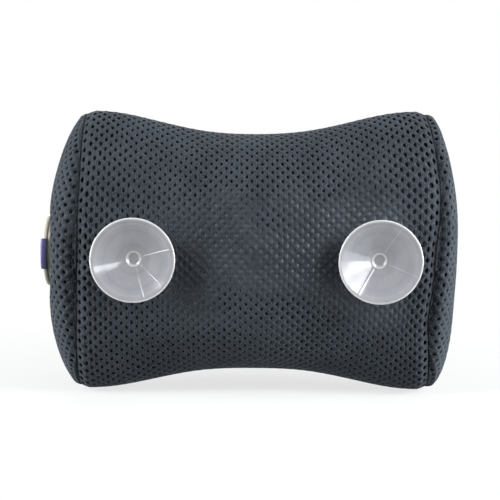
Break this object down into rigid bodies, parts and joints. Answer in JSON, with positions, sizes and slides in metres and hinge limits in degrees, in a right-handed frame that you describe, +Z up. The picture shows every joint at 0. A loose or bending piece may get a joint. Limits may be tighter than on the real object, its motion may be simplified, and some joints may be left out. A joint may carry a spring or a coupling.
{
  "type": "bath pillow",
  "caption": "Bead-filled mesh neck cushion with a drawn-in waist, hung on clear suction cups, with a push-button battery massager in a pocket in one end.",
  "frame": {"origin": "midway between the two suction cups, on the wall plane that their rims grip", "axes": "+X along the pillow away from the massager, +Y from the wall towards the bather, +Z up"},
  "size_m": [0.2881, 0.1123, 0.195],
  "materials": {
    "mesh_fabric": "matte",
    "binding_tape": "matte",
    "liner_vinyl": "satin",
    "bead_fill": "matte",
    "clear_vinyl": "gloss",
    "eyelet_plastic": "satin",
    "cream_plastic": "satin",
    "violet_plastic": "satin",
    "seal_rubber": "matte",
    "black_plastic": "satin",
    "cell_steel": "satin",
    "contact_brass": "satin",
    "board_green": "satin",
    "motor_steel": "satin",
    "weight_brass": "satin"
  },
  "bodies": {
    "pillow": {"mesh_wrap": "mesh_fabric", "left_end_panel": "mesh_fabric", "right_end_panel": "mesh_fabric", "left_seam_binding": "binding_tape", "right_seam_binding": "binding_tape", "pocket_binding": "binding_tape", "massager_pocket": "binding_tape", "bead_liner": "liner_vinyl", "bead_filling": "bead_fill", "eyelet_left": "eyelet_plastic", "eyelet_right": "eyelet_plastic", "eyelet_washer_left": "eyelet_plastic", "eyelet_washer_right": "eyelet_plastic"},
    "left_cup": {"suction_cup_left": "clear_vinyl"},
    "right_cup": {"suction_cup_right": "clear_vinyl"},
    "massager": {"massager_housing": "cream_plastic", "switch_body": "black_plastic", "circuit_board": "board_green", "battery_carrier": "black_plastic", "outer_contact_plate": "contact_brass", "inner_contact_plate": "contact_brass", "battery_1": "cell_steel", "battery_2": "cell_steel", "battery_3": "cell_steel", "motor": "motor_steel", "motor_sleeve": "black_plastic"},
    "cap": {"end_cap": "cream_plastic", "cap_grip_bar": "violet_plastic", "cap_seal_ring": "seal_rubber"},
    "button": {"push_button": "violet_plastic", "button_gasket": "seal_rubber"},
    "plunger": {"switch_plunger": "violet_plastic"},
    "rotor": {"motor_shaft": "motor_steel", "eccentric_weight": "weight_brass"}
  },
  "joints": [
    {"name": "left_cup_swivel", "type": "hinge", "parent": "pillow", "child": "left_cup", "pos_m": [-0.08, 0, 0], "axis": [0, -1, 0], "continuous": true},
    {"name": "right_cup_swivel", "type": "hinge", "parent": "pillow", "child": "right_cup", "pos_m": [0.08, 0, 0], "axis": [0, -1, 0], "continuous": true},
    {"name": "massager_slide", "type": "slide", "parent": "pillow", "child": "massager", "axis": [-1, 0, 0], "range_m": [0, 0.125]},
    {"name": "cap_twist", "type": "hinge", "parent": "massager", "child": "cap", "pos_m": [-0.15, 0.05868, 0], "axis": [-1, 0, 0], "range_deg": [0, 40]},
    {"name": "button_press", "type": "slide", "parent": "cap", "child": "button", "axis": [1, 0, 0], "range_m": [0, 0.0015], "stiffness_N_per_m": 1500},
    {"name": "plunger_slide", "type": "slide", "parent": "massager", "child": "plunger", "axis": [1, 0, 0], "range_m": [0, 0.0015]},
    {"name": "motor_spin", "type": "hinge", "parent": "massager", "child": "rotor", "pos_m": [-0.04, 0.05868, 0], "axis": [1, 0, 0], "continuous": true}
  ],
  "couplings": [
    {"joint": "plunger_slide", "follows": "button_press", "ratio": 1}
  ]
}
